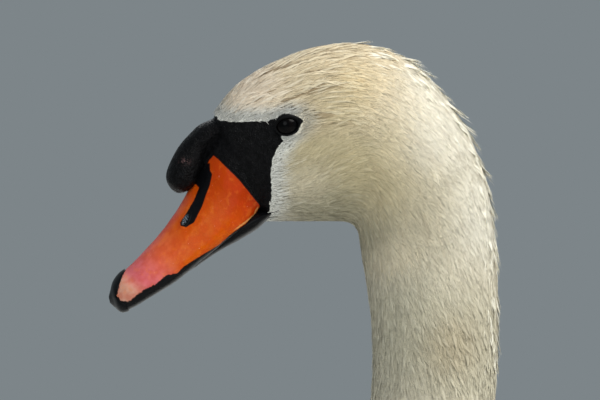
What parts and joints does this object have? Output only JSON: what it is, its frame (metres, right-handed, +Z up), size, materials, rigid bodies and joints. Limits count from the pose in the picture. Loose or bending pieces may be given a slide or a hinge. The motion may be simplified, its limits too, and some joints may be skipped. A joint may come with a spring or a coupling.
{
  "type": "mute swan",
  "caption": "Life-size white swan resting on its belly, with a raised S-shaped neck, an orange bill with a black knob, folded wings and tucked feet.",
  "frame": {"origin": "on the floor, under the middle of the bird's length, in its plane of symmetry", "axes": "+Z up, -Y the way the bird faces, +X towards its left side"},
  "size_m": [0.3908, 0.9202, 0.7997],
  "materials": {
    "feathers": "soft white feathers with a faint cream tone",
    "head_feathers": "short dense feathers, cream with a tan stain on the crown",
    "bill_horn": "satin orange horn, paler and pinker towards the tip",
    "black_skin": "bare black skin with a faint sheen",
    "eye": "wet dark brown eye",
    "foot_skin": "scaly dark grey skin"
  },
  "bodies": {
    "root": {"head": "head_feathers", "eye_left": "eye", "eye_right": "eye", "bill_nail": "black_skin", "bill_upper": "bill_horn", "bill_lower": "black_skin", "knob": "black_skin", "neck_upper": "feathers", "neck_middle": "feathers", "neck_lower": "feathers", "breast": "feathers", "trunk": "feathers", "rump": "feathers", "tail": "feathers", "wing_left": "feathers", "wing_right": "feathers", "wing_tip_left": "feathers", "wing_tip_right": "feathers", "thigh_left": "feathers", "thigh_right": "feathers", "foot_left": "foot_skin", "foot_right": "foot_skin"}
  },
  "joints": []
}
